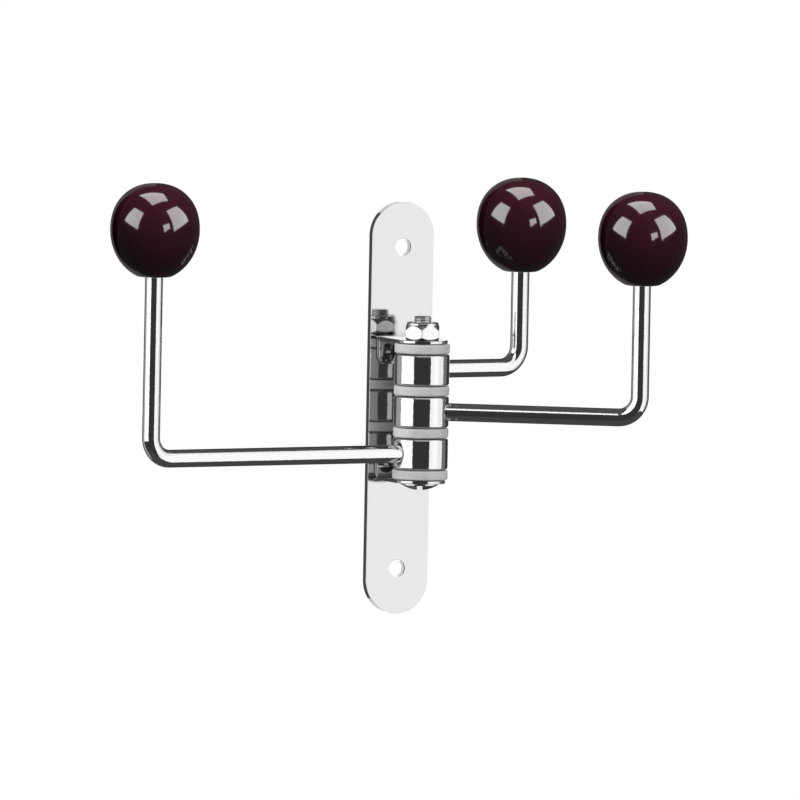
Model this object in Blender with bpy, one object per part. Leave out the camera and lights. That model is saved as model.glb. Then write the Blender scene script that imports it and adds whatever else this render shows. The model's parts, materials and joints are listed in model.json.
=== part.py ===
"""Wall coat hook: a chromed back plate carries an upright screw, on which three hubs turn between
nylon washers. Each hub holds a rod that runs out level and bends up into a round knob.

Lengths are in metres and angles in degrees. X runs along the wall to the right, Y into the wall
and Z up. The origin is the middle of the plate's back face, which lies on the wall.
"""

import math

import bmesh
import bpy

# Clearance between pieces that touch, and how far a cutter runs past what it cuts
FIT_GAP = 0.0003
OVERRUN = 0.002

# Back plate
PLATE_WIDTH = 0.026
PLATE_HEIGHT = 0.160
PLATE_THICKNESS = 0.003
PLATE_EDGE_RADIUS = 0.0003
SCREW_HOLE_INSET = 0.0175
SCREW_HOLE_DIAMETER = 0.0066

# Pivot axis, in front of the plate's front face
PIVOT_STANDOFF = 0.0204

# Brackets: one bent sheet above the stack and one below it
SHEET_THICKNESS = 0.0012
BRACKET_WIDTH = 0.0197
BRACKET_TAB_HEIGHT = 0.0107
BRACKET_TAB_CORNER = 0.003
BRACKET_BEND_RADIUS = 0.0008
BRACKET_EDGE_CHAMFER = 0.00015
WELD_INSET = 0.00395
WELD_DROP = 0.006
WELD_MARK_DIAMETER = 0.0064
WELD_MARK_DEPTH = 0.0003

# Stack of washers and hubs on the pivot screw
WASHER_DIAMETER = 0.0215
WASHER_THICKNESS = 0.00365
WASHER_EDGE_RADIUS = 0.0006
HUB_DIAMETER = 0.0214
HUB_HEIGHT = 0.0121
HUB_EDGE_RADIUS = 0.0009
HUB_COUNT = 3

# Pivot screw, its head below the stack
PIVOT_DIAMETER = 0.008
PIVOT_TIP_STEP = 0.00065
PIVOT_TIP_LENGTH = 0.0023
PIVOT_TIP_CHAMFER = 0.0004
HEAD_OVERHANG = 0.0032
HEAD_HEIGHT = 0.00255
HEAD_RIM_HEIGHT = 0.0004
SLOT_WIDTH = 0.0021
SLOT_DEPTH = 0.0018
SLOT_TURN = 24.0

# Lock nut above the stack, a hexagon with a round collar that grips a nylon ring
NUT_HEX_HEIGHT = 0.0055
NUT_SHOULDER = 0.0003
NUT_CHAMFER_ANGLE = 60.0
NUT_FOOT_ANGLE = 45.0
NUT_COLLAR_WALL = 0.0008
NUT_COLLAR_HEIGHT = 0.001
NUT_COLLAR_EDGE = 0.0005
NUT_TURN = 26.5
LOCK_RING_WALL = 0.0008
LOCK_RING_HEIGHT = 0.002
LOCK_RING_RECESS = 0.0003

# Arms: a rod of round bar set into the hub's side
ROD_DIAMETER = 0.007
ROD_BEND_RADIUS = 0.0084
SOCKET_WALL = 0.002
TOP_REACH = 0.0437
MIDDLE_REACH = 0.0862
BOTTOM_REACH = 0.1228
TOP_RISE = 0.0373
MIDDLE_RISE = 0.0516
BOTTOM_RISE = 0.0709

# How far each arm is turned from the plate's right-hand side towards the viewer
TOP_TURN = -6.8
MIDDLE_TURN = 34.4
BOTTOM_TURN = 172.4

# Knob: an egg-like ball, cut flat underneath, with a threaded insert
KNOB_DIAMETER = 0.035
KNOB_TOP_HEIGHT = 0.01815
KNOB_TOP_EXPONENT = 2.18
KNOB_WAIST_HEIGHT = 0.0184
KNOB_BASE_RIM = 0.00097
INSERT_WALL = 0.001
INSERT_LENGTH = 0.0135
INSERT_CEILING = 0.001
INSERT_RECESS = 0.0003

# Facets
ROUND_STEPS = 36
SMALL_ROUND_STEPS = 24
ARC_STEPS = 2
BEND_STEPS = 8
KNOB_STEPS = 9
SMOOTH_ANGLE = 35.0
WELD_DISTANCE = 0.000001

FINISHES = {
    "chrome": {"color": (0.60, 0.60, 0.60), "roughness": 0.08, "metallic": 1.0},
    "nylon": {"color": (0.75, 0.75, 0.74), "roughness": 0.45, "metallic": 0.0},
    "burgundy": {"color": (0.045, 0.007, 0.014), "roughness": 0.08, "metallic": 0.0},
    "brass": {"color": (0.72, 0.52, 0.24), "roughness": 0.25, "metallic": 1.0},
}

# Places worked out from the sizes above
BORE_RADIUS = PIVOT_DIAMETER / 2 + FIT_GAP
PIVOT_Y = -(PLATE_THICKNESS + PIVOT_STANDOFF)
STACK_PITCH = HUB_HEIGHT + WASHER_THICKNESS + 2 * FIT_GAP
STACK_TOP = STACK_PITCH * HUB_COUNT / 2 + WASHER_THICKNESS / 2
EAR_INNER_LEVEL = STACK_TOP + FIT_GAP
EAR_OUTER_LEVEL = EAR_INNER_LEVEL + SHEET_THICKNESS
NUT_BASE_LEVEL = EAR_OUTER_LEVEL + FIT_GAP
NUT_TOP_LEVEL = NUT_BASE_LEVEL + NUT_HEX_HEIGHT + NUT_COLLAR_HEIGHT
LOCK_RING_RADIUS = BORE_RADIUS + LOCK_RING_WALL
SOCKET_RADIUS = ROD_DIAMETER / 2 + FIT_GAP
SOCKET_BOTTOM = BORE_RADIUS + SOCKET_WALL
INSERT_RADIUS = SOCKET_RADIUS + INSERT_WALL


def clear_scene():
    """Remove every object that the scene starts with."""
    for item in list(bpy.data.objects):
        bpy.data.objects.remove(item, do_unlink=True)


def make_material(name, finish):
    """One Principled material for one sub-part."""
    material = bpy.data.materials.new(name + "_finish")
    material.use_nodes = True
    shader = material.node_tree.nodes["Principled BSDF"]
    shader.inputs["Base Color"].default_value = (*FINISHES[finish]["color"], 1.0)
    shader.inputs["Roughness"].default_value = FINISHES[finish]["roughness"]
    shader.inputs["Metallic"].default_value = FINISHES[finish]["metallic"]
    return material


def add_object(name, data, finish, parent=None, location=(0, 0, 0)):
    """Place a sub-part made of the given mesh or curve, with a material of its own."""
    item = bpy.data.objects.new(name, data)
    bpy.context.collection.objects.link(item)
    data.materials.append(make_material(name, finish))
    item.parent = parent
    item.location = location
    return item


def add_cutter(name, mesh, location, parent=None):
    """Place a guide body that only cuts other pieces."""
    item = bpy.data.objects.new(name, mesh)
    bpy.context.collection.objects.link(item)
    item.parent = parent
    item.location = location
    item.hide_render = True
    item.display_type = "WIRE"
    return item


def apply_boolean(item, cutter, operation):
    """Add a Boolean modifier that cuts or keeps the item with the guide body."""
    step = item.modifiers.new(cutter.name, "BOOLEAN")
    step.object = cutter
    step.operation = operation
    step.solver = "EXACT"


def add_bevel(item, width, segments):
    """Soften the item's sharp edges."""
    step = item.modifiers.new("edges", "BEVEL")
    step.width = width
    step.segments = segments
    step.limit_method = "ANGLE"
    step.angle_limit = math.radians(SMOOTH_ANGLE)


def finish_mesh(name, shape):
    """Turn a bmesh into a mesh whose faces point out and whose round faces shade smooth."""
    bmesh.ops.recalc_face_normals(shape, faces=shape.faces)
    mesh = bpy.data.meshes.new(name)
    shape.to_mesh(mesh)
    shape.free()
    mesh.shade_smooth()
    mesh.set_sharp_from_angle(angle=math.radians(SMOOTH_ANGLE))
    return mesh


def arc(centre, radius, start, end, steps):
    """Points on an arc about centre, from the start angle to the end angle."""
    points = []
    for index in range(steps + 1):
        angle = math.radians(start + (end - start) * index / steps)
        points.append((centre[0] + radius * math.cos(angle), centre[1] + radius * math.sin(angle)))
    return points


def extruded_mesh(name, outline, base, height):
    """A prism over an outline in the XY plane."""
    shape = bmesh.new()
    corners = [shape.verts.new((x, y, base)) for x, y in outline]
    face = shape.faces.new(corners)
    raised = bmesh.ops.extrude_face_region(shape, geom=[face])
    top = [part for part in raised["geom"] if isinstance(part, bmesh.types.BMVert)]
    bmesh.ops.translate(shape, verts=top, vec=(0, 0, height))
    return finish_mesh(name, shape)


def turned_mesh(name, outline, steps, closed):
    """A body turned about Z from an outline of radius and height.

    A closed outline makes a ring. An open one starts and ends on the axis.
    """
    shape = bmesh.new()
    points = [shape.verts.new((radius, 0, height)) for radius, height in outline]
    pairs = list(zip(points, points[1:]))
    if closed:
        pairs.append((points[-1], points[0]))
    edges = [shape.edges.new(pair) for pair in pairs]
    bmesh.ops.spin(
        shape, geom=points + edges, axis=(0, 0, 1), cent=(0, 0, 0), steps=steps, angle=math.tau
    )
    bmesh.ops.remove_doubles(shape, verts=shape.verts, dist=WELD_DISTANCE)
    return finish_mesh(name, shape)


def cylinder_mesh(name, radius, base, height, steps):
    """A plain cylinder about Z."""
    return turned_mesh(
        name, [(0, base + height), (radius, base + height), (radius, base), (0, base)], steps, False
    )


def ring_outline(inner, outer, height, edge):
    """Outline of a ring centred on its own height, with rounded outer edges."""
    half = height / 2
    upper = arc((outer - edge, half - edge), edge, 90, 0, ARC_STEPS)
    lower = arc((outer - edge, edge - half), edge, 0, -90, ARC_STEPS)
    return [(inner, half), *upper, *lower, (inner, -half)]


def rounded_strip(width, tail, corner, nose_centre):
    """Outline of a strip along Y: rounded corners at its tail, a half round at its nose."""
    half = width / 2
    right = arc((half - corner, tail + corner), corner, -90, 0, ARC_STEPS)
    nose = arc((0, nose_centre), half, 0, 180, SMALL_ROUND_STEPS // 2)
    left = arc((corner - half, tail + corner), corner, 180, 270, ARC_STEPS)
    return [*right, *nose, *left]


def make_back_plate():
    """The strip with half-round ends that is screwed to the wall."""
    half_width = PLATE_WIDTH / 2
    end_centre = PLATE_HEIGHT / 2 - half_width
    outline = arc((0, end_centre), half_width, 0, 180, SMALL_ROUND_STEPS // 2)
    outline += arc((0, -end_centre), half_width, 180, 360, SMALL_ROUND_STEPS // 2)
    plate = add_object(
        "back_plate", extruded_mesh("back_plate", outline, 0, PLATE_THICKNESS), "chrome"
    )
    plate.rotation_euler = (math.radians(90), 0, 0)
    add_bevel(plate, PLATE_EDGE_RADIUS, 2)
    for side, place in ((1, "upper"), (-1, "lower")):
        drill = cylinder_mesh(
            "screw_hole",
            SCREW_HOLE_DIAMETER / 2,
            -OVERRUN,
            PLATE_THICKNESS + 2 * OVERRUN,
            SMALL_ROUND_STEPS,
        )
        hole_place = (0, side * (PLATE_HEIGHT / 2 - SCREW_HOLE_INSET), 0)
        cutter = add_cutter(place + "_screw_hole_cutter", drill, hole_place, plate)
        apply_boolean(plate, cutter, "DIFFERENCE")


def bent_sheet_mesh(name, side):
    """A bracket as it is made: a flat blank, bent square between its tab and its ear.

    The tab lies on the plate and the ear stands out level from the tab's outer end. Side is 1
    for the bracket above the stack and -1 for the one below.
    """
    half_sheet = SHEET_THICKNESS / 2
    middle_radius = BRACKET_BEND_RADIUS + half_sheet
    tab_plane = -(PLATE_THICKNESS + FIT_GAP + half_sheet)
    ear_level = EAR_INNER_LEVEL + half_sheet
    tab_length = BRACKET_TAB_HEIGHT - SHEET_THICKNESS - BRACKET_BEND_RADIUS
    bend_length = middle_radius * math.pi / 2
    ear_length = tab_plane - middle_radius - PIVOT_Y
    outline = rounded_strip(
        BRACKET_WIDTH, -tab_length, BRACKET_TAB_CORNER, bend_length + ear_length
    )

    shape = bmesh.new()
    shape.from_mesh(extruded_mesh(name, outline, -half_sheet, SHEET_THICKNESS))
    for index in range(BEND_STEPS + 1):
        everything = [*shape.verts, *shape.edges, *shape.faces]
        bmesh.ops.bisect_plane(
            shape,
            geom=everything,
            dist=WELD_DISTANCE,
            plane_co=(0, bend_length * index / BEND_STEPS, 0),
            plane_no=(0, 1, 0),
        )
    for corner in shape.verts:
        along = corner.co.y
        angle = min(max(along / middle_radius, 0), math.pi / 2)
        radius = middle_radius + corner.co.z
        before_bend = min(along, 0)
        after_bend = max(along - bend_length, 0)
        corner.co.y = tab_plane - middle_radius + radius * math.cos(angle) - after_bend
        corner.co.z = side * (ear_level - middle_radius + radius * math.sin(angle) + before_bend)
    return finish_mesh(name, shape)


def make_bracket(name, side):
    """One bracket with its pivot hole and the two marks of the spot welds on its tab."""
    bracket = add_object(name, bent_sheet_mesh(name, side), "chrome")
    add_bevel(bracket, BRACKET_EDGE_CHAMFER, 1)
    drill = cylinder_mesh(
        "pivot_hole",
        BORE_RADIUS,
        EAR_INNER_LEVEL - OVERRUN,
        SHEET_THICKNESS + 2 * OVERRUN,
        SMALL_ROUND_STEPS,
    )
    cutter = add_cutter(name + "_pivot_hole_cutter", drill, (0, PIVOT_Y, 0))
    if side < 0:
        cutter.rotation_euler = (math.pi, 0, 0)
    apply_boolean(bracket, cutter, "DIFFERENCE")

    mark_radius = WELD_MARK_DIAMETER / 2
    dent_radius = (mark_radius**2 + WELD_MARK_DEPTH**2) / (2 * WELD_MARK_DEPTH)
    dent_span = math.degrees(math.asin(mark_radius / dent_radius))
    dent = arc((0, dent_radius - WELD_MARK_DEPTH), dent_radius, dent_span - 90, -90, ARC_STEPS)
    dent[-1] = (0, -WELD_MARK_DEPTH)
    tab_front = -(PLATE_THICKNESS + FIT_GAP + SHEET_THICKNESS)
    level = side * (EAR_OUTER_LEVEL - WELD_DROP)
    for hand, place in ((-1, "left"), (1, "right")):
        outline = [(0, OVERRUN), (mark_radius, OVERRUN), *dent]
        cutter = add_cutter(
            name + "_" + place + "_weld_cutter",
            turned_mesh("weld_mark", outline, SMALL_ROUND_STEPS, False),
            (hand * (BRACKET_WIDTH / 2 - WELD_INSET), tab_front, level),
        )
        cutter.rotation_euler = (math.radians(90), 0, 0)
        apply_boolean(bracket, cutter, "DIFFERENCE")


def make_pivot_screw():
    """The upright screw: a low slotted head below the stack and a bare tip above the nut."""
    shank_radius = PIVOT_DIAMETER / 2
    head_radius = shank_radius + HEAD_OVERHANG
    tip_radius = shank_radius - PIVOT_TIP_STEP
    seat = -(EAR_OUTER_LEVEL + FIT_GAP)
    dome_height = HEAD_HEIGHT - HEAD_RIM_HEIGHT
    dome_radius = (head_radius**2 + dome_height**2) / (2 * dome_height)
    dome_span = math.degrees(math.asin(head_radius / dome_radius))
    dome_centre = seat - HEAD_HEIGHT + dome_radius
    dome = arc((0, dome_centre), dome_radius, dome_span - 90, -90, KNOB_STEPS)
    dome[-1] = (0, seat - HEAD_HEIGHT)
    tip_top = NUT_TOP_LEVEL + PIVOT_TIP_LENGTH
    outline = [
        (0, tip_top),
        (tip_radius - PIVOT_TIP_CHAMFER, tip_top),
        (tip_radius, tip_top - PIVOT_TIP_CHAMFER),
        (tip_radius, NUT_TOP_LEVEL),
        (shank_radius, NUT_TOP_LEVEL - PIVOT_TIP_STEP),
        (shank_radius, seat),
        (head_radius, seat),
        *dome,
    ]
    screw = add_object(
        "pivot_screw",
        turned_mesh("pivot_screw", outline, SMALL_ROUND_STEPS, False),
        "chrome",
        location=(0, PIVOT_Y, 0),
    )
    half_slot = SLOT_WIDTH / 2
    half_length = head_radius + OVERRUN
    slot_outline = [
        (half_slot, -half_length),
        (half_slot, half_length),
        (-half_slot, half_length),
        (-half_slot, -half_length),
    ]
    slot = extruded_mesh("slot", slot_outline, -OVERRUN, SLOT_DEPTH + OVERRUN)
    cutter = add_cutter("slot_cutter", slot, (0, 0, seat - HEAD_HEIGHT), screw)
    cutter.rotation_euler = (0, 0, -math.radians(SLOT_TURN))
    apply_boolean(screw, cutter, "DIFFERENCE")


def make_lock_nut():
    """The hexagon nut with chamfered corners and a round collar."""
    recess_radius = LOCK_RING_RADIUS + FIT_GAP
    collar_radius = recess_radius + NUT_COLLAR_WALL
    flat_radius = collar_radius + NUT_SHOULDER
    corner_radius = flat_radius / math.cos(math.pi / 6)
    foot_height = (corner_radius - flat_radius) * math.tan(math.radians(NUT_FOOT_ANGLE))
    upper_drop = (corner_radius - collar_radius) * math.tan(math.radians(NUT_CHAMFER_ANGLE))
    total = NUT_HEX_HEIGHT + NUT_COLLAR_HEIGHT
    collar_edge = arc(
        (collar_radius - NUT_COLLAR_EDGE, total - NUT_COLLAR_EDGE), NUT_COLLAR_EDGE, 90, 0, ARC_STEPS
    )
    envelope = [
        (0, total),
        *collar_edge,
        (collar_radius, NUT_HEX_HEIGHT),
        (corner_radius, NUT_HEX_HEIGHT - upper_drop),
        (corner_radius, foot_height),
        (flat_radius, 0),
        (0, 0),
    ]
    hexagon = [
        (corner_radius * math.cos(turn * math.pi / 3), corner_radius * math.sin(turn * math.pi / 3))
        for turn in range(6)
    ]
    nut = add_object(
        "lock_nut",
        extruded_mesh("lock_nut", hexagon, -OVERRUN, total + 2 * OVERRUN),
        "chrome",
        location=(0, PIVOT_Y, NUT_BASE_LEVEL),
    )
    nut.rotation_euler = (0, 0, -math.radians(90 + NUT_TURN))
    lathe = turned_mesh("nut_envelope", envelope, ROUND_STEPS, False)
    apply_boolean(nut, add_cutter("nut_envelope_guide", lathe, (0, 0, 0), nut), "INTERSECT")

    ring_seat = total - LOCK_RING_RECESS - LOCK_RING_HEIGHT - FIT_GAP
    bore = [
        (0, total + OVERRUN),
        (recess_radius, total + OVERRUN),
        (recess_radius, ring_seat),
        (BORE_RADIUS, ring_seat),
        (BORE_RADIUS, -OVERRUN),
        (0, -OVERRUN),
    ]
    drill = turned_mesh("nut_bore", bore, SMALL_ROUND_STEPS, False)
    apply_boolean(nut, add_cutter("nut_bore_cutter", drill, (0, 0, 0), nut), "DIFFERENCE")

    half_ring = LOCK_RING_HEIGHT / 2
    ring = [
        (BORE_RADIUS, half_ring),
        (LOCK_RING_RADIUS, half_ring),
        (LOCK_RING_RADIUS, -half_ring),
        (BORE_RADIUS, -half_ring),
    ]
    add_object(
        "nut_lock_ring",
        turned_mesh("nut_lock_ring", ring, SMALL_ROUND_STEPS, True),
        "nylon",
        location=(0, PIVOT_Y, NUT_TOP_LEVEL - LOCK_RING_RECESS - half_ring),
    )


def make_washers():
    """One washer more than there are hubs, numbered from the top."""
    outline = ring_outline(BORE_RADIUS, WASHER_DIAMETER / 2, WASHER_THICKNESS, WASHER_EDGE_RADIUS)
    for index in range(HUB_COUNT + 1):
        level = STACK_PITCH * (HUB_COUNT / 2 - index)
        name = "washer_" + str(index + 1)
        washer = turned_mesh(name, outline, ROUND_STEPS, True)
        add_object(name, washer, "nylon", location=(0, PIVOT_Y, level))


def hub_level(index):
    """Height of a hub's middle, the top hub being index 0."""
    return STACK_PITCH * ((HUB_COUNT - 1) / 2 - index)


def make_hub(name, pivot):
    """The turned barrel that carries one arm, with a blind socket for its rod."""
    outline = ring_outline(BORE_RADIUS, HUB_DIAMETER / 2, HUB_HEIGHT, HUB_EDGE_RADIUS)
    hub = add_object(name, turned_mesh(name, outline, ROUND_STEPS, True), "chrome", pivot)
    socket = cylinder_mesh(
        "socket",
        SOCKET_RADIUS,
        SOCKET_BOTTOM,
        HUB_DIAMETER / 2 - SOCKET_BOTTOM + OVERRUN,
        SMALL_ROUND_STEPS,
    )
    cutter = add_cutter(name + "_socket_cutter", socket, (0, 0, 0), pivot)
    cutter.rotation_euler = (0, math.radians(90), 0)
    apply_boolean(hub, cutter, "DIFFERENCE")


def make_rod(name, pivot, reach, rise):
    """Round bar that leaves the hub level, bends up and ends inside the knob's insert."""
    start = SOCKET_BOTTOM + FIT_GAP
    top = rise + INSERT_RECESS + INSERT_LENGTH - INSERT_CEILING - FIT_GAP
    bend = arc((reach - ROD_BEND_RADIUS, ROD_BEND_RADIUS), ROD_BEND_RADIUS, -90, 0, BEND_STEPS)
    route = [(start, 0), *bend, (reach, top)]

    bar = bpy.data.curves.new(name, "CURVE")
    bar.dimensions = "3D"
    bar.bevel_depth = ROD_DIAMETER / 2
    bar.bevel_resolution = 6
    bar.use_fill_caps = True
    line = bar.splines.new("POLY")
    line.points.add(len(route) - 1)
    for point, (out, up) in zip(line.points, route):
        point.co = (out, 0, up, 1)
    add_object(name, bar, "chrome", pivot)


def knob_outline():
    """Half outline of the knob from its crown to its flat base and up into the insert's hole."""
    waist_radius = KNOB_DIAMETER / 2
    crown = []
    for index in range(KNOB_STEPS):
        angle = math.pi / 2 * (1 - index / KNOB_STEPS)
        radius = waist_radius * math.cos(angle) ** (2 / KNOB_TOP_EXPONENT)
        height = KNOB_TOP_HEIGHT * math.sin(angle) ** (2 / KNOB_TOP_EXPONENT)
        crown.append((radius, KNOB_WAIST_HEIGHT + height))
    crown[0] = (0, KNOB_WAIST_HEIGHT + KNOB_TOP_HEIGHT)
    hole_radius = INSERT_RADIUS + FIT_GAP
    base_angle = math.acos((hole_radius + KNOB_BASE_RIM) / waist_radius)
    lower_height = KNOB_WAIST_HEIGHT / math.sin(base_angle)
    lower = []
    for index in range(KNOB_STEPS + 1):
        angle = base_angle * index / KNOB_STEPS
        radius = waist_radius * math.cos(angle)
        lower.append((radius, KNOB_WAIST_HEIGHT - lower_height * math.sin(angle)))
    ceiling = INSERT_RECESS + INSERT_LENGTH + FIT_GAP
    return [*crown, *lower, (hole_radius, 0), (hole_radius, ceiling), (0, ceiling)]


def make_knob(prefix, pivot, reach, rise):
    """The moulded knob and the blind insert that screws onto the rod."""
    place = (reach, 0, rise)
    knob = turned_mesh(prefix + "_knob", knob_outline(), ROUND_STEPS, False)
    add_object(prefix + "_knob", knob, "burgundy", pivot, place)

    top = INSERT_RECESS + INSERT_LENGTH
    insert = [
        (0, top),
        (INSERT_RADIUS, top),
        (INSERT_RADIUS, INSERT_RECESS),
        (SOCKET_RADIUS, INSERT_RECESS),
        (SOCKET_RADIUS, top - INSERT_CEILING),
        (0, top - INSERT_CEILING),
    ]
    bush = turned_mesh(prefix + "_insert", insert, SMALL_ROUND_STEPS, False)
    add_object(prefix + "_insert", bush, "brass", pivot, place)


def make_arm(prefix, index, reach, rise, turn):
    """One arm on its own pivot: the hub, its rod, and the knob at the rod's end."""
    pivot = bpy.data.objects.new(prefix + "_arm_pivot", None)
    bpy.context.collection.objects.link(pivot)
    pivot.location = (0, PIVOT_Y, hub_level(index))
    pivot.rotation_euler = (0, 0, -math.radians(turn))
    make_hub(prefix + "_hub", pivot)
    make_rod(prefix + "_rod", pivot, reach, rise)
    make_knob(prefix, pivot, reach, rise)


def main():
    clear_scene()
    make_back_plate()
    make_bracket("upper_bracket", 1)
    make_bracket("lower_bracket", -1)
    make_pivot_screw()
    make_lock_nut()
    make_washers()
    make_arm("top", 0, TOP_REACH, TOP_RISE, TOP_TURN)
    make_arm("middle", 1, MIDDLE_REACH, MIDDLE_RISE, MIDDLE_TURN)
    make_arm("bottom", 2, BOTTOM_REACH, BOTTOM_RISE, BOTTOM_TURN)


main()
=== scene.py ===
import json
import math

import bmesh
import bpy
from mathutils import Matrix, Vector

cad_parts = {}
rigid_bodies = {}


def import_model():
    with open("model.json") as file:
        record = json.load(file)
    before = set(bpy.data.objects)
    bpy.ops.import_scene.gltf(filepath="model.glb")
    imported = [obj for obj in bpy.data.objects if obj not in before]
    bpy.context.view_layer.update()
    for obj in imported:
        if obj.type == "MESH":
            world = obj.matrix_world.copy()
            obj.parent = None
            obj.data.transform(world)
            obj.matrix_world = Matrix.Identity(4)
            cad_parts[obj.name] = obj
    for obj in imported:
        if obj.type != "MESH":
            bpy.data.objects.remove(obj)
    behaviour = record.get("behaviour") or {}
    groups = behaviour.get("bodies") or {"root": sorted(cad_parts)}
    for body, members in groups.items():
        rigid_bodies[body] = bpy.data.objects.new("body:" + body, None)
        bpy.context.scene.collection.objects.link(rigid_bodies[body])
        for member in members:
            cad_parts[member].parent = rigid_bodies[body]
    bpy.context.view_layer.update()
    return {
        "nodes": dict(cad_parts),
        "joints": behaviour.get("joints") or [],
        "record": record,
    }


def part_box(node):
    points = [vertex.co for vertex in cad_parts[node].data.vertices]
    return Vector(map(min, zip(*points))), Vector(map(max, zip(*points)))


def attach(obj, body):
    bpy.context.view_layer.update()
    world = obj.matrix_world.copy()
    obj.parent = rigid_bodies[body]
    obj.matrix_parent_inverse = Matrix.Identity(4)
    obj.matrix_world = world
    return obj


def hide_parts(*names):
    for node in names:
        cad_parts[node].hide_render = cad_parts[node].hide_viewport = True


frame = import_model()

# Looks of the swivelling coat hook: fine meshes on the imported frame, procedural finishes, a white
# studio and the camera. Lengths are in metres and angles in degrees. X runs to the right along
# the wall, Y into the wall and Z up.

# Facets of the fine meshes
ROUND_STEPS = 144
ROD_STEPS = 64
EDGE_STEPS = 6
BEND_STEPS = 28
CROWN_STEPS = 40
CROWN_BUNCHING = 1.3
THREAD_STEPS = 28
NUT_ROWS = 40
NUT_FLAT_STEPS = 22
NUT_CORNER_STEPS = 5
NUT_MOUTH_STEPS = 4
SMOOTH_ANGLE = 28.0
MERGE_DISTANCE = 0.000001

# The photograph's camera: its direction, its roll, its scale and the pixel of the origin. Its
# rays are parallel, so its distance only has to clear the object.
CAMERA_AZIMUTH = -24.0
CAMERA_ELEVATION = 3.8
CAMERA_ROLL = 1.1
CAMERA_DISTANCE = 2.0
IMAGE_PIXELS = 800.0
PIXELS_PER_METRE = 2577.0
ORIGIN_PIXEL = (396.64, 407.15)

# World: how far the white backdrop reaches, the level of the dim studio, its unlit corner, which
# the plate's side face mirrors, and the fill between the ground and the sky. Here and in the
# lamps, azimuths are counted from the camera's direction.
BACKDROP_REACH = 10.0
STUDIO_LEVEL = 0.038
DARK_CORNER = (-147.0, 6.5)
DARK_CORNER_REACH = 35.0
GROUND_FILL_HEIGHT = -0.2
GROUND_FILL_LEVEL = 0.03
SKY_FILL_HEIGHT = 1.0
SKY_FILL_LEVEL = 0.25

# Lamps are soft boxes far away. Their last value is their level, the brightness that a mirror
# shows. An upright box has the azimuths and the elevations of its edges. Any other box has its
# own azimuth and elevation, its turns, and its width and height seen from a distance of one.
# Overhead is just short of upright, where a box has no sideways direction.
LAMP_DISTANCE = 60.0
LAMP_AIM = Vector((0, -0.04, 0.05))
OVERHEAD = 89.9
NO_TURNS = (0.0, 0.0, 0.0)
KNOB_GLOW = ("knob_glow", 30.0, 38.0, NO_TURNS, (0.8, 0.8), 3.4)
KNOB_LEVEL = 4.5
KNOB_TOP_LEVEL = 4.15
KNOB_LAMPS = (
    ("knob_left", -60.9, 25.6, (-10.5, -15.9, 35.9), (0.704, 0.732), KNOB_LEVEL),
    ("knob_right", 68.7, 30.0, (5.0, 23.5, 41.1), (0.82, 0.892), KNOB_LEVEL),
    ("knob_small", 30.7, 5.3, (15.6, 28.2, 4.0), (0.332, 0.188), KNOB_LEVEL),
    ("knob_top", 93.1, 83.2, (-80.9, 54.1, 21.0), (1.028, 0.644), KNOB_TOP_LEVEL),
)
KNOB_BACK_LAMP = ("knob_back", (-180, -143), (-50, 40), 0.13)
METAL_LAMPS = (
    ("left", (-95, -34), (-14, 42), 1.87),
    ("right_inner", (38, 53), (-38, 54), 1.42),
    ("right", (53, 76), (-38, 54), 1.53),
    ("right_outer", (76, 102), (-38, 54), 1.3),
    ("front_top", (-28, 36), (34, 54), 1.65),
    ("left_back", (-175, -128), (-50, 50), 0.08),
    ("left_wall", (-128, -97), (-55, 42), 0.47),
    ("right_wall", (103, 128), (-38, 54), 0.2),
)
SKY_LAMP = ("sky_fill", 0.0, OVERHEAD, NO_TURNS, (4.0, 4.0), 0.35)

# The dim room round the metal: azimuth, elevation and level of its six sides
METAL_ROOM_SIZE = (2.0, 2.0)
METAL_ROOM = (
    (0.0, 0.0, 0.014),
    (90.0, 0.0, 0.014),
    (180.0, 0.0, 0.014),
    (-90.0, 0.0, 0.014),
    (0.0, OVERHEAD, 0.075),
    (0.0, -OVERHEAD, 0.045),
)

# Lamps that only the sheets and the hubs mirror, seen from behind and from above
SHEETS = ("back_plate", "upper_bracket", "lower_bracket")
HUBS = ("top_hub", "middle_hub", "bottom_hub")
PLATE_BACK_LAMP = ("plate_back", (-216, -150), (-50, 60), 0.85)
SHEET_CEILING = ("sheet_ceiling", 0.0, OVERHEAD, NO_TURNS, (2.2, 2.2), 0.8)
STACK_GROUND = ("stack_ground", 0.0, -OVERHEAD, NO_TURNS, (2.2, 2.2), 0.8)

# Lamps that light matt surfaces. The others are only mirrored.
LAMPS_FOR_MATT = (
    "knob_top",
    "knob_glow",
    "left",
    "right_inner",
    "left_wall",
    "front_top",
    "right_outer",
    "sky_fill",
)

# Floor
FLOOR_DEPTH = 0.6
FLOOR_RADIUS = 6.0
FLOOR_GLOW = 0.42

# Clearance between touching pieces, and how far a cutter runs past what it cuts
FIT_GAP = 0.0003
OVERRUN = 0.001

# Back plate
PLATE_EDGE = 0.00015
WALL_HOLE_DIAMETER = 0.0066
WALL_HOLE_EDGE = 0.0002

# Brackets
SHEET = 0.0012
SHEET_BEND = 0.0008
SHEET_EDGE = 0.00018
TAB_CORNER = 0.003
WELD_INSET = 0.00395
WELD_DROP = 0.0060
WELD_DIAMETER = 0.0066
WELD_DEPTH = 0.0003
WELD_NUB_DIAMETER = 0.0018
WELD_NUB_HEIGHT = 0.0002

# Turned pieces
WASHERS = ("washer_1", "washer_2", "washer_3", "washer_4")
WASHER_EDGE = 0.0006
HUB_EDGE = 0.0009
HUB_MOUTH = 0.00035
PIVOT_BORE = 0.0043
SOCKET_WALL = 0.002

# Arms and their rods
ARMS = ("top", "middle", "bottom")
ROD_BEND = 0.0084
ROD_END_CHAMFER = 0.0003

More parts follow.
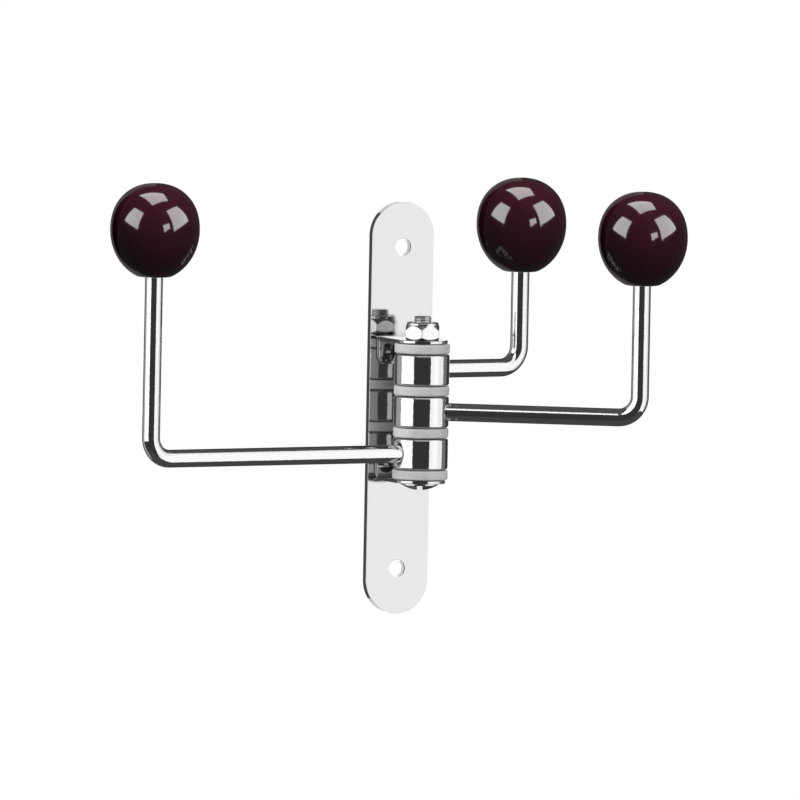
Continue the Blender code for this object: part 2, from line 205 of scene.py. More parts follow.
# Knobs, and the inserts inside them
KNOB_WAIST_SHARE = 0.5034
KNOB_TOP_EXPONENT = 2.18
KNOB_RIM = 0.0008
KNOB_BASE_RADIUS = 0.0064
INSERT_EDGE = 0.0003

# Pivot screw and its nut
THREAD_PITCH = 0.001
THREAD_DEPTH = 0.0003
THREAD_LENGTH = 0.004
TIP_STEP = 0.00065
TIP_CHAMFER = 0.0004
HEAD_HEIGHT = 0.00255
HEAD_RIM = 0.0004
SLOT_WIDTH = 0.0021
SLOT_DEPTH = 0.0020
SLOT_TURN = 24.0
NUT_SIDES = 6
NUT_HEX_HEIGHT = 0.00575
NUT_DROP = 0.00025
NUT_CORNER = 0.00038
NUT_CHAMFER = 60.0
NUT_FOOT_CHAMFER = 45.0
NUT_TURN = 26.0
NUT_SHOULDER = 0.0003
NUT_COLLAR_EDGE = 0.0006
NUT_MOUTH_EDGE = 0.0002
NUT_EDGE_BLEND = 0.00012

# Finishes: noise is given in cells for a metre, relief by its height, haze from least to most,
# and colour as two shades
NOISE_RANGE = (0.3, 0.7)
CHROME_CLOUD = 140.0
CHROME_WAVE = 90.0
CHROME_WAVE_HEIGHT = 0.000003
CHROME_RIPPLE = 1100.0
CHROME_MARK_HEIGHT = 0.00000025
CHROME_MARK_SHARE = 0.4
CHROME_TONE_SPREAD = 0.015
CHROME_HAZE_SPREAD = 0.4
FASTENER_CLOUD = 500.0
FASTENER_SHADES = ((0.58, 0.58, 0.58), (0.62, 0.62, 0.62))
FASTENER_HAZE = (0.08, 0.14)
FASTENER_GRAIN = 1500.0
FASTENER_GRAIN_HEIGHT = 0.0000006
THREAD_HAZE = 0.25
NYLON_CLOUD = 260.0
NYLON_SHADES = ((0.79, 0.79, 0.78), (0.85, 0.85, 0.845))
NYLON_HAZE = (0.38, 0.5)
NYLON_GRAIN = 2600.0
NYLON_GRAIN_HEIGHT = 0.000006
BURGUNDY_CLOUD = 110.0
BURGUNDY_SHADES = ((0.042, 0.0064, 0.013), (0.048, 0.0076, 0.015))
BURGUNDY_HAZE_CLOUD = 900.0
BURGUNDY_HAZE = (0.08, 0.11)
BURGUNDY_GRAIN = 700.0
BURGUNDY_GRAIN_HEIGHT = 0.0000008
BRASS_CLOUD = 400.0
BRASS_SHADES = ((0.64, 0.45, 0.2), (0.74, 0.54, 0.26))
BRASS_HAZE = (0.2, 0.34)
BRASS_RINGS = (60.0, 60.0, 9000.0)
BRASS_RING_HEIGHT = 0.000004
FLOOR_CLOUD = 3.0
FLOOR_SHADES = ((0.86, 0.86, 0.86), (0.88, 0.88, 0.88))
FLOOR_HAZE = (0.8, 0.9)
FLOOR_GRAIN = 80.0
FLOOR_GRAIN_HEIGHT = 0.0005

# Turns a shape's Z to point out from the wall
OUT_FROM_WALL = Matrix.Rotation(math.radians(90), 4, "X")

PLATE_LOW, PLATE_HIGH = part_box("back_plate")
PLATE_FRONT = PLATE_LOW.y
PIVOT = Vector(next(joint["pos_m"] for joint in frame["joints"] if joint["child"] == "middle_arm"))


def arc(centre, radius, start, end, steps):
    """Points on an arc about centre, from the start angle to the end angle."""
    points = []
    for index in range(steps + 1):
        angle = math.radians(start + (end - start) * index / steps)
        points.append((centre[0] + radius * math.cos(angle), centre[1] + radius * math.sin(angle)))
    return points


def line(start, end, steps):
    """Points on a straight line from the start, without its end."""
    return [
        tuple(near + (far - near) * index / steps for near, far in zip(start, end))
        for index in range(steps)
    ]


def spread(node, centre):
    """Largest distance of a node's points from the upright line through centre."""
    points = frame["nodes"][node].data.vertices
    return max(math.hypot(point.co.x - centre.x, point.co.y - centre.y) for point in points)


def finish_mesh(name, shape):
    """Turn a bmesh into a mesh whose faces point out and whose round faces shade smooth."""
    bmesh.ops.recalc_face_normals(shape, faces=shape.faces)
    mesh = bpy.data.meshes.new(name)
    shape.to_mesh(mesh)
    shape.free()
    mesh.shade_smooth()
    mesh.set_sharp_from_angle(angle=math.radians(SMOOTH_ANGLE))
    return mesh


def turned_mesh(name, outline, closed=False, reshape=None, angles=None):
    """A body turned about Z from an outline of radius and height.

    A closed outline makes a ring, an open one starts and ends on the axis. Reshape takes a
    point's angle, radius and height and gives the radius to use there. The angles of the
    outline's copies are even unless they are given.
    """
    angles = angles or [math.tau * step / ROUND_STEPS for step in range(ROUND_STEPS)]
    steps = len(angles)
    shape = bmesh.new()
    rings = []
    for radius, height in outline:
        ring = []
        for angle in angles if radius > 0 else angles[:1]:
            reach = reshape(angle, radius, height) if reshape else radius
            ring.append(shape.verts.new((reach * math.cos(angle), reach * math.sin(angle), height)))
        rings.append(ring)
    pairs = list(zip(rings, rings[1:]))
    if closed:
        pairs.append((rings[-1], rings[0]))
    for upper, lower in pairs:
        for step in range(steps):
            after = (step + 1) % steps
            corners = [
                upper[step % len(upper)],
                lower[step % len(lower)],
                lower[after % len(lower)],
                upper[after % len(upper)],
            ]
            shape.faces.new(list(dict.fromkeys(corners)))
    return finish_mesh(name, shape)


def extruded_mesh(name, outline, base, height):
    """A prism over an outline in the XY plane."""
    shape = bmesh.new()
    face = shape.faces.new([shape.verts.new((x, y, base)) for x, y in outline])
    raised = bmesh.ops.extrude_face_region(shape, geom=[face])
    top = [part for part in raised["geom"] if isinstance(part, bmesh.types.BMVert)]
    bmesh.ops.translate(shape, verts=top, vec=(0, 0, height))
    return finish_mesh(name, shape)


def swept_mesh(name, stations):
    """Round bar through stations of (along X, up Z, heading, radius), closed at both ends."""
    shape = bmesh.new()
    rings = []
    for along, up, heading, radius in stations:
        side = Vector((-math.sin(math.radians(heading)), 0, math.cos(math.radians(heading))))
        ring = []
        for step in range(ROD_STEPS):
            angle = math.tau * step / ROD_STEPS
            offset = side * math.cos(angle) + Vector((0, 1, 0)) * math.sin(angle)
            ring.append(shape.verts.new(Vector((along, 0, up)) + offset * radius))
        rings.append(ring)
    for before, after in zip(rings, rings[1:]):
        for step in range(ROD_STEPS):
            following = (step + 1) % ROD_STEPS
            shape.faces.new([before[step], before[following], after[following], after[step]])
    shape.faces.new(rings[0])
    shape.faces.new(rings[-1])
    return finish_mesh(name, shape)


def add_object(name, data):
    """A new object in the scene."""
    added = bpy.data.objects.new(name, data)
    bpy.context.scene.collection.objects.link(added)
    return added


def place(name, mesh, where):
    """Put a mesh into the scene, moved in its own data."""
    mesh.transform(where)
    return add_object(name, mesh)


def settle(piece):
    """Apply the piece's modifiers to its mesh."""
    graph = bpy.context.evaluated_depsgraph_get()
    mesh = bpy.data.meshes.new_from_object(piece.evaluated_get(graph))
    piece.modifiers.clear()
    piece.data = mesh


def cut(piece, mesh, where):
    """Cut a guide body out of the piece."""
    cutter = place("cutter", mesh, where)
    step = piece.modifiers.new("cut", "BOOLEAN")
    step.object = cutter
    step.operation = "DIFFERENCE"
    step.solver = "EXACT"
    settle(piece)
    bpy.data.objects.remove(cutter, do_unlink=True)


def soften(piece, width):
    """Round the piece's sharp edges."""
    step = piece.modifiers.new("edges", "BEVEL")
    step.width = width
    step.segments = EDGE_STEPS // 2
    step.limit_method = "ANGLE"
    step.angle_limit = math.radians(SMOOTH_ANGLE)
    settle(piece)
    piece.data.shade_smooth()
    piece.data.set_sharp_from_angle(angle=math.radians(SMOOTH_ANGLE))


def weigh_normals(piece):
    """Let large faces shade flat beside small rounded ones."""
    step = piece.modifiers.new("shading", "WEIGHTED_NORMAL")
    step.mode = "FACE_AREA"
    step.keep_sharp = True
    settle(piece)


def hide_in_mirrors(item):
    """Keep an object out of reflections, where the photograph shows nothing of it."""
    item.visible_glossy = False


def dress(piece, node, body, material):
    """Let a fine piece stand for its node: body, material slot and finish."""
    weigh_normals(piece)
    piece.data.materials.clear()
    piece.data.materials.append(material)
    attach(piece, body)
    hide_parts(node)


class Nodes:
    """Short way to write a node tree."""

    def __init__(self, tree):
        self.tree = tree

    def add(self, kind, values=(), **settings):
        """A node of a kind with its settings; values are numbers or sockets for its inputs."""
        node = self.tree.nodes.new(kind)
        for name, value in settings.items():
            setattr(node, name, value)
        for index, value in dict(values).items():
            if isinstance(value, bpy.types.NodeSocket):
                self.tree.links.new(value, node.inputs[index])
            else:
                node.inputs[index].default_value = value
        return node

    def math(self, operation, first, second=0.0, third=0.0):
        """The result of a sum with numbers or sockets."""
        values = {0: first, 1: second, 2: third}
        return self.add("ShaderNodeMath", values, operation=operation).outputs[0]

    def closeness(self, first, second):
        """Cosine of the angle between two directions."""
        values = {0: first, 1: second}
        return self.add("ShaderNodeVectorMath", values, operation="DOT_PRODUCT").outputs["Value"]

    def noise(self, cells, detail=3.0):
        """Noise from 0 to 1 over the piece, with so many cells for a metre, or along each axis."""
        stretch = cells if isinstance(cells, tuple) else (cells, cells, cells)
        spot = self.add("ShaderNodeTexCoord").outputs["Object"]
        values = {0: spot, 1: stretch}
        spot = self.add("ShaderNodeVectorMath", values, operation="MULTIPLY").outputs[0]
        values = {"Vector": spot, "Scale": 1.0, "Detail": detail}
        return self.add("ShaderNodeTexNoise", values).outputs[0]

    def pivot_distance(self):
        """Distance of a point from the pivot's upright line, and the point's height."""
        spot = self.add("ShaderNodeTexCoord").outputs["Object"]
        axes = self.add("ShaderNodeSeparateXYZ", {0: spot}).outputs
        across = self.math("POWER", self.math("SUBTRACT", axes[0], PIVOT.x), 2.0)
        along = self.math("POWER", self.math("SUBTRACT", axes[1], PIVOT.y), 2.0)
        return self.math("POWER", self.math("ADD", across, along), 0.5), axes[2]

    def between(self, share, low, high):
        """A value that runs from low to high as noise goes from its usual least to its most."""
        values = {0: share, 1: NOISE_RANGE[0], 2: NOISE_RANGE[1], 3: low, 4: high}
        return self.add("ShaderNodeMapRange", values).outputs[0]

    def shade(self, share, shades):
        """A colour that runs between two shades as noise goes from its least to its most."""
        mix = self.add("ShaderNodeMix", {0: self.between(share, 0.0, 1.0)}, data_type="RGBA")
        first, second = (socket for socket in mix.inputs if socket.type == "RGBA")
        first.default_value = (*shades[0], 1)
        second.default_value = (*shades[1], 1)
        return next(socket for socket in mix.outputs if socket.type == "RGBA")

    def bump(self, height, distance, under=None):
        """Relief of a height map from 0 to 1 whose full height is the distance."""
        values = {"Height": height, "Distance": distance, "Strength": 1.0}
        if under:
            values["Normal"] = under
        return self.add("ShaderNodeBump", values).outputs[0]


def new_finish(name, **settings):
    """A material with a Principled shader: the shader, and the short way to its nodes."""
    material = bpy.data.materials.new(name)
    material.use_nodes = True
    shader = material.node_tree.nodes["Principled BSDF"]
    for key, value in settings.items():
        shader.inputs[key.replace("_", " ")].default_value = value
    return material, shader, Nodes(material.node_tree)


def connect(nodes, shader, color, roughness, normal):
    """Lead a finish's colour, haze and relief into its shader."""
    nodes.tree.links.new(color, shader.inputs["Base Color"])
    nodes.tree.links.new(roughness, shader.inputs["Roughness"])
    nodes.tree.links.new(normal, shader.inputs["Normal"])


def chrome_finish(name, haze, grain, tone, ripple_height):
    """Mirror plating: cloudy polish, faint wipe marks along the grain, a slight wave and ripple."""
    material, shader, nodes = new_finish(name, Metallic=1.0)
    cloud = nodes.noise(CHROME_CLOUD)
    marks = nodes.noise(grain, detail=1.0)
    rest = nodes.math("MULTIPLY", cloud, 1 - CHROME_MARK_SHARE)
    mixed = nodes.math("MULTIPLY_ADD", marks, CHROME_MARK_SHARE, rest)
    shades = [[tone * (1 + change)] * 3 for change in (-CHROME_TONE_SPREAD, CHROME_TONE_SPREAD)]
    color = nodes.shade(mixed, shades)
    wave = nodes.bump(nodes.noise(CHROME_WAVE, detail=0.0), CHROME_WAVE_HEIGHT)
    ripple = nodes.bump(nodes.noise(CHROME_RIPPLE, detail=2.0), ripple_height, wave)
    relief = nodes.bump(marks, CHROME_MARK_HEIGHT, ripple)
    least, most = haze * (1 - CHROME_HAZE_SPREAD), haze * (1 + CHROME_HAZE_SPREAD)
    connect(nodes, shader, color, nodes.between(mixed, least, most), relief)
    return material


def fastener_finish():
    """Duller plating of the nut and screw, dull on the rolled thread above the bracket."""
    material, shader, nodes = new_finish("fastener_chrome", Metallic=1.0)
    radius, height = nodes.pivot_distance()
    inside = nodes.math("LESS_THAN", radius, PIVOT_BORE - FIT_GAP / 2)
    above = nodes.math("GREATER_THAN", height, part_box("lock_nut")[0].z)
    thread = nodes.math("MULTIPLY", inside, above)
    cloud = nodes.noise(FASTENER_CLOUD)
    color = nodes.shade(cloud, FASTENER_SHADES)
    haze = nodes.between(cloud, *FASTENER_HAZE)
    roughness = nodes.math("MULTIPLY_ADD", thread, THREAD_HAZE, haze)
    relief = nodes.bump(nodes.noise(FASTENER_GRAIN), FASTENER_GRAIN_HEIGHT)
    connect(nodes, shader, color, roughness, relief)
    return material


def nylon_finish():
    """Milky washer plastic: light enters it, and its moulded skin is satin."""
    material, shader, nodes = new_finish(
        "nylon",
        Subsurface_Weight=0.35,
        Subsurface_Radius=(1.0, 1.0, 0.95),
        Subsurface_Scale=0.0016,
        IOR=1.53,
    )
    cloud = nodes.noise(NYLON_CLOUD)
    color = nodes.shade(cloud, NYLON_SHADES)
    relief = nodes.bump(nodes.noise(NYLON_GRAIN), NYLON_GRAIN_HEIGHT)
    connect(nodes, shader, color, nodes.between(cloud, *NYLON_HAZE), relief)
    return material


def burgundy_finish():
    """Gloss plastic: a deep, slightly uneven wine red under a clear shine."""
    material, shader, nodes = new_finish(
        "burgundy",
        Coat_Weight=1.0,
        Coat_Roughness=0.07,
        Coat_IOR=1.5,
    )
    color = nodes.shade(nodes.noise(BURGUNDY_CLOUD), BURGUNDY_SHADES)
    haze = nodes.between(nodes.noise(BURGUNDY_HAZE_CLOUD), *BURGUNDY_HAZE)
    relief = nodes.bump(nodes.noise(BURGUNDY_GRAIN, detail=1.0), BURGUNDY_GRAIN_HEIGHT)
    connect(nodes, shader, color, haze, relief)
    return material


def brass_finish():
    """Turned brass: fine rings round the upright axis and slight tarnish."""
    material, shader, nodes = new_finish("brass", Metallic=1.0)
    rings = nodes.noise(BRASS_RINGS, detail=2.0)
    cloud = nodes.noise(BRASS_CLOUD)
    color = nodes.shade(cloud, BRASS_SHADES)
    relief = nodes.bump(rings, BRASS_RING_HEIGHT)
    connect(nodes, shader, color, nodes.between(cloud, *BRASS_HAZE), relief)
    return material


PLATE_CHROME = chrome_finish(
    "plate_chrome", haze=0.06, grain=(2600.0, 2600.0, 90.0), tone=0.55, ripple_height=0.000001
)
ARM_CHROME = chrome_finish(
    "arm_chrome", haze=0.05, grain=(300.0, 300.0, 4200.0), tone=0.6, ripple_height=0.00002
)
FASTENER_CHROME = fastener_finish()
NYLON = nylon_finish()
BURGUNDY = burgundy_finish()
BRASS = brass_finish()


def make_back_plate():
    """Strip with half-round ends, rounded edges and two plain holes."""
    half = (PLATE_HIGH.x - PLATE_LOW.x) / 2
    end = (PLATE_HIGH.z - PLATE_LOW.z) / 2 - half
    outline = arc((0, end), half, 0, 180, ROUND_STEPS // 2)
    outline += arc((0, -end), half, 180, 360, ROUND_STEPS // 2)
    flat = extruded_mesh("back_plate_fine", outline, 0, PLATE_HIGH.y - PLATE_LOW.y)
    piece = place("back_plate_fine", flat, OUT_FROM_WALL)
    soften(piece, PLATE_EDGE)
    hole = WALL_HOLE_DIAMETER / 2
    for opening in frame["record"]["physics"]["openings"]:
        if not opening["name"].endswith("_screw_hole"):
            continue
        low, high = (Vector(corner) for corner in opening["box_m"])
        drill = turned_mesh(
            "drill",
            [
                (0, -PLATE_FRONT + OVERRUN),
                (hole + WALL_HOLE_EDGE + OVERRUN, -PLATE_FRONT + OVERRUN),
                (hole, -PLATE_FRONT - WALL_HOLE_EDGE),
                (hole, -OVERRUN),
                (0, -OVERRUN),
            ],
        )
        cut(piece, drill, Matrix.Translation((0, 0, (low.z + high.z) / 2)) @ OUT_FROM_WALL)
    hide_in_mirrors(piece)
    dress(piece, "back_plate", "base", PLATE_CHROME)


def bent_sheet_mesh(name, ear_inner, tab_back, tab_end):
    """A flat blank bent square between its tab, which lies on the plate, and its ear."""
    middle = SHEET_BEND + SHEET / 2
    tab_plane = tab_back - SHEET / 2
    ear_level = ear_inner + SHEET / 2
    low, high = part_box("upper_bracket")
    half = (high.x - low.x) / 2
    tab_length = ear_inner - SHEET_BEND - tab_end
    bend_length = middle * math.pi / 2
    nose = bend_length + (tab_plane - middle - PIVOT.y)
    corner_steps = EDGE_STEPS * 2
    outline = arc((half - TAB_CORNER, TAB_CORNER - tab_length), TAB_CORNER, -90, 0, corner_steps)
    outline += arc((0, nose), half, 0, 180, ROUND_STEPS // 2)
    outline += arc((TAB_CORNER - half, TAB_CORNER - tab_length), TAB_CORNER, 180, 270, corner_steps)

    shape = bmesh.new()
    shape.from_mesh(extruded_mesh(name, outline, -SHEET / 2, SHEET))
    for index in range(BEND_STEPS + 1):
        bmesh.ops.bisect_plane(
            shape,
            geom=[*shape.verts, *shape.edges, *shape.faces],
            dist=MERGE_DISTANCE,
            plane_co=(0, bend_length * index / BEND_STEPS, 0),
            plane_no=(0, 1, 0),
        )
    for corner in shape.verts:
        along = corner.co.y
        angle = min(max(along / middle, 0), math.pi / 2)
        radius = middle + corner.co.z
        corner.co.y = tab_plane - middle + radius * math.cos(angle) - max(along - bend_length, 0)
        corner.co.z = ear_level - middle + radius * math.sin(angle) + min(along, 0)
    return finish_mesh(name, shape)


def weld_mark_outline():
    """A shallow round dent with a nub in its middle, turned about the way out of the tab."""
    mark = WELD_DIAMETER / 2
    nub = WELD_NUB_DIAMETER / 2
    dent_radius = (mark**2 + WELD_DEPTH**2) / (2 * WELD_DEPTH)
    span = math.degrees(math.asin(mark / dent_radius))
    dent = arc((0, dent_radius - WELD_DEPTH), dent_radius, span - 90, -90, EDGE_STEPS * 2)
    outline = [(0, OVERRUN), (mark, OVERRUN)]
    for radius, height in dent:
        lift = WELD_NUB_HEIGHT * (1 + math.cos(math.pi * min(radius / nub, 1))) / 2
        outline.append((max(radius, 0), height + lift))
    outline[-1] = (0, outline[-1][1])
    return outline


def make_bracket(node, side):
    """One bracket: the bent sheet, its pivot hole and two spot-weld marks.

    The side is 1 for the upper bracket and -1 for the lower one, its mirror image.
    """
    low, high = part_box("upper_bracket")
    ear_inner = high.z - SHEET
    mesh = bent_sheet_mesh(node + "_fine", ear_inner, high.y, low.z)
    piece = place(node + "_fine", mesh, Matrix())
    soften(piece, SHEET_EDGE)
    drill = turned_mesh(
        "drill",
        [
            (0, high.z + OVERRUN),
            (PIVOT_BORE, high.z + OVERRUN),
            (PIVOT_BORE, ear_inner - OVERRUN),
            (0, ear_inner - OVERRUN),
        ],
    )
    cut(piece, drill, Matrix.Translation((0, PIVOT.y, 0)))
    for hand in (-1, 1):
        across = hand * ((high.x - low.x) / 2 - WELD_INSET)
        spot = Vector((across, high.y - SHEET, high.z - WELD_DROP))
        mark = turned_mesh("mark", weld_mark_outline())
        cut(piece, mark, Matrix.Translation(spot) @ OUT_FROM_WALL)
    if side < 0:
        piece.data.transform(Matrix.Diagonal((1, 1, -1, 1)))
        piece.data.flip_normals()
    dress(piece, node, "base", PLATE_CHROME)


def ring_outline(inner, outer, height, edge):
    """Outline of a ring centred on its own height, with rounded edges."""
    half = height / 2
    small = edge / 2
    return [
        *arc((inner + small, half - small), small, 180, 90, EDGE_STEPS),
        *arc((outer - edge, half - edge), edge, 90, 0, EDGE_STEPS),
        *arc((outer - edge, edge - half), edge, 0, -90, EDGE_STEPS),
        *arc((inner + small, small - half), small, -90, -180, EDGE_STEPS),
    ]


def make_base_ring(node, edge):
    """A plastic ring round the pivot screw."""
    low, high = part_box(node)
    outline = ring_outline(PIVOT_BORE, spread(node, PIVOT), high.z - low.z, edge)
    mesh = turned_mesh(node + "_fine", outline, closed=True)
    level = Vector((PIVOT.x, PIVOT.y, (low.z + high.z) / 2))
    piece = place(node + "_fine", mesh, Matrix.Translation(level))
    dress(piece, node, "base", NYLON)


def make_screw():
    """The pivot screw: slotted head, plain shank, and a thread that shows above the nut."""
    low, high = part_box("pivot_screw")
    shank = PIVOT_BORE - FIT_GAP
    tip = shank - TIP_STEP
    head = spread("pivot_screw", PIVOT)
    seat = low.z + HEAD_HEIGHT
    dome_height = HEAD_HEIGHT - HEAD_RIM
    dome_radius = (head**2 + dome_height**2) / (2 * dome_height)
    span = math.degrees(math.asin(head / dome_radius))
    dome = arc((0, low.z + dome_radius), dome_radius, span - 90, -90, CROWN_STEPS // 2)
    dome[-1] = (0, low.z)
    root = high.z - THREAD_LENGTH
    steps = round(THREAD_LENGTH / THREAD_PITCH * THREAD_STEPS)
    column = [
        (tip, high.z - TIP_CHAMFER - (high.z - TIP_CHAMFER - root) * index / steps)
        for index in range(steps + 1)
    ]
    outline = [(0, high.z), (tip - TIP_CHAMFER, high.z), *column, (shank, root), (shank, seat)]
    outline += [(head, seat), *dome]

    def threaded(angle, radius, height):
        """The tip's radius is cut by a thread that winds up it; any other stays."""
        if radius != tip:
            return radius
        turns = height / THREAD_PITCH - angle / math.tau
        return radius - THREAD_DEPTH * (1 - math.cos(math.tau * turns)) / 2

    centre = Matrix.Translation((PIVOT.x, PIVOT.y, 0))
    mesh = turned_mesh("pivot_screw_fine", outline, reshape=threaded)
    piece = place("pivot_screw_fine", mesh, centre)
    half = SLOT_WIDTH / 2
    reach = head + OVERRUN
    corners = [(half, -reach), (half, reach), (-half, reach), (-half, -reach)]
    slot = extruded_mesh("slot", corners, low.z - OVERRUN, SLOT_DEPTH + OVERRUN)
    cut(piece, slot, centre @ Matrix.Rotation(-math.radians(SLOT_TURN), 4, "Z"))
    dress(piece, "pivot_screw", "base", FASTENER_CHROME)


def blended_minimum(first, second, width):
    """The lower of two values, rounded where they cross."""
    share = max(width - abs(first - second), 0) / width
    return min(first, second) - share * share * width / 4


def make_nut():
    """The hexagon nut with chamfered corners, its round collar and the bore."""
    low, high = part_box("lock_nut")
    base = low.z - NUT_DROP
    total = high.z - base
    side = math.tau / NUT_SIDES
    corner = spread("lock_nut", PIVOT)
    flat = corner * math.cos(side / 2)
    collar = flat - NUT_SHOULDER
    outer = corner + NUT_SHOULDER
    recess = spread("nut_lock_ring", PIVOT) + FIT_GAP
    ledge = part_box("nut_lock_ring")[0].z - base - FIT_GAP
    slope = math.tan(math.radians(NUT_CHAMFER))
    foot_slope = math.tan(math.radians(NUT_FOOT_CHAMFER))
    upper_rim = (outer, NUT_HEX_HEIGHT - (outer - collar) * slope)
    lower_rim = (outer, (outer - flat) * foot_slope)
    mouth = (recess + NUT_MOUTH_EDGE, total - NUT_MOUTH_EDGE)
    shoulder = (collar - NUT_COLLAR_EDGE, total - NUT_COLLAR_EDGE)
    outline = [
        (PIVOT_BORE, ledge),
        (recess, ledge),
        *arc(mouth, NUT_MOUTH_EDGE, 180, 90, NUT_MOUTH_STEPS),
        *arc(shoulder, NUT_COLLAR_EDGE, 90, 0, EDGE_STEPS),
        *line((collar, NUT_HEX_HEIGHT), upper_rim, NUT_ROWS // 2),
        *line(upper_rim, lower_rim, NUT_ROWS),
        *line(lower_rim, (flat - NUT_SHOULDER, 0), NUT_ROWS // 3),
        (flat - NUT_SHOULDER, 0),
        (PIVOT_BORE, 0),
    ]

    round_centre = (flat - NUT_CORNER) / math.cos(side / 2)
    round_end = math.atan2(
        NUT_CORNER * math.sin(side / 2), round_centre + NUT_CORNER * math.cos(side / 2)
    )

    def six_sided(angle, radius, height):
        """The hexagon's reach at an angle, with round corners; the collar stays round."""
        turn = angle % side - side / 2
        if abs(turn) < round_end:
            offset = round_centre * math.sin(turn)
            reach = round_centre * math.cos(turn) + math.sqrt(NUT_CORNER**2 - offset**2)
        else:
            reach = flat / math.cos(side / 2 - abs(turn))
        if radius <= collar:
            return radius
        return blended_minimum(radius, reach, NUT_EDGE_BLEND)

    wide = [
        round_end + (side / 2 - round_end) * step / NUT_FLAT_STEPS
        for step in range(1, NUT_FLAT_STEPS + 1)
    ]
    narrow = [
        round_end * step / NUT_CORNER_STEPS
        for step in range(-NUT_CORNER_STEPS, NUT_CORNER_STEPS + 1)
    ]
    one_side = [*narrow, *wide, *(side - turn for turn in reversed(wide[:-1]))]
    angles = [side * (number + 0.5) + turn for number in range(NUT_SIDES) for turn in one_side]
    mesh = turned_mesh("lock_nut_fine", outline, True, six_sided, angles)
    turn = Matrix.Rotation(-math.radians(NUT_TURN), 4, "Z")
    piece = place("lock_nut_fine", mesh, Matrix.Translation((PIVOT.x, PIVOT.y, base)) @ turn)
    dress(piece, "lock_nut", "base", FASTENER_CHROME)


def read_arm(prefix):
    """Where an arm's hub, rod and knob lie, in a frame whose X runs along the arm."""
    joint = next(joint for joint in frame["joints"] if joint["child"] == prefix + "_arm")
    pivot = Vector(joint["pos_m"])
    knob_low, knob_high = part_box(prefix + "_knob")
    middle = (knob_low + knob_high) / 2
    turn = math.atan2(middle.y - pivot.y, middle.x - pivot.x)
    hub_low, hub_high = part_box(prefix + "_hub")
    rod_low, rod_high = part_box(prefix + "_rod")
    return {
        "body": prefix + "_arm",
        "place": Matrix.Translation(pivot) @ Matrix.Rotation(turn, 4, "Z"),
        "pivot": pivot,
        "reach": math.hypot(middle.x - pivot.x, middle.y - pivot.y),
        "rise": knob_low.z - pivot.z,
        "knob_centre": middle,
        "knob_height": knob_high.z - knob_low.z,
        "hub_height": hub_high.z - hub_low.z,
        "rod_radius": pivot.z - rod_low.z,
        "rod_top": rod_high.z - pivot.z,
    }


def make_hub(prefix, arm):
    """The turned barrel with the socket that its rod goes into."""
    node = prefix + "_hub"
    radius = spread(node, arm["pivot"])
    outline = ring_outline(PIVOT_BORE, radius, arm["hub_height"], HUB_EDGE)
    mesh = turned_mesh(node + "_fine", outline, closed=True)
    piece = place(node + "_fine", mesh, arm["place"])
    socket = arm["rod_radius"] + FIT_GAP
    start = PIVOT_BORE + SOCKET_WALL
    mouth = math.sqrt(radius**2 - socket**2)
    drill = turned_mesh(
        "drill",
        [
            (0, radius + OVERRUN),
            (socket + HUB_MOUTH + radius + OVERRUN - mouth, radius + OVERRUN),
            (socket, mouth - HUB_MOUTH),
            (socket, start),
            (0, start),
        ],
    )
    cut(piece, drill, arm["place"] @ Matrix.Rotation(math.radians(90), 4, "Y"))
    dress(piece, node, arm["body"], ARM_CHROME)


def make_rod(prefix, arm):
    """The bar from the hub's socket, round its bend, up into the knob."""
    radius = arm["rod_radius"]
    small = radius - ROD_END_CHAMFER
    start = PIVOT_BORE + SOCKET_WALL + FIT_GAP
    reach = arm["reach"]
    top = arm["rod_top"]
    stations = [(start, 0, 0, small), (start + ROD_END_CHAMFER, 0, 0, radius)]
    for index in range(BEND_STEPS + 1):
        heading = 90 * index / BEND_STEPS
        along = reach - ROD_BEND + ROD_BEND * math.sin(math.radians(heading))
        up = ROD_BEND - ROD_BEND * math.cos(math.radians(heading))
        stations.append((along, up, heading, radius))
    stations += [(reach, top - ROD_END_CHAMFER, 90, radius), (reach, top, 90, small)]
    piece = place(prefix + "_rod_fine", swept_mesh(prefix + "_rod_fine", stations), arm["place"])
    hide_in_mirrors(piece)
    dress(piece, prefix + "_rod", arm["body"], ARM_CHROME)


def ball_outline(radius, height):
    """The ball from its top to its flat base: a full crown, a rounder lower half and a soft rim."""
    waist = height * KNOB_WAIST_SHARE
    crown_height = height - waist
    outline = [(0, height)]
    for index in range(1, CROWN_STEPS):
        angle = math.pi / 2 * (1 - (index / CROWN_STEPS) ** CROWN_BUNCHING)
        outline.append(
            (
                radius * math.cos(angle) ** (2 / KNOB_TOP_EXPONENT),
                waist + crown_height * math.sin(angle) ** (2 / KNOB_TOP_EXPONENT),
            )
        )
    base_angle = math.acos(KNOB_BASE_RADIUS / radius)
    lower_height = waist / math.sin(base_angle)
    rim_angle = base_angle - KNOB_RIM / radius
    for index in range(CROWN_STEPS + 1):
        angle = rim_angle * index / CROWN_STEPS
        outline.append((radius * math.cos(angle), waist - lower_height * math.sin(angle)))
    rim = outline[-1]
    for index in range(1, EDGE_STEPS + 1):
        share = index / EDGE_STEPS
        near, corner, far = (1 - share) ** 2, 2 * share * (1 - share), share**2
        across = near * rim[0] + corner * KNOB_BASE_RADIUS + far * (KNOB_BASE_RADIUS - KNOB_RIM)
        outline.append((across, near * rim[1]))
    return outline


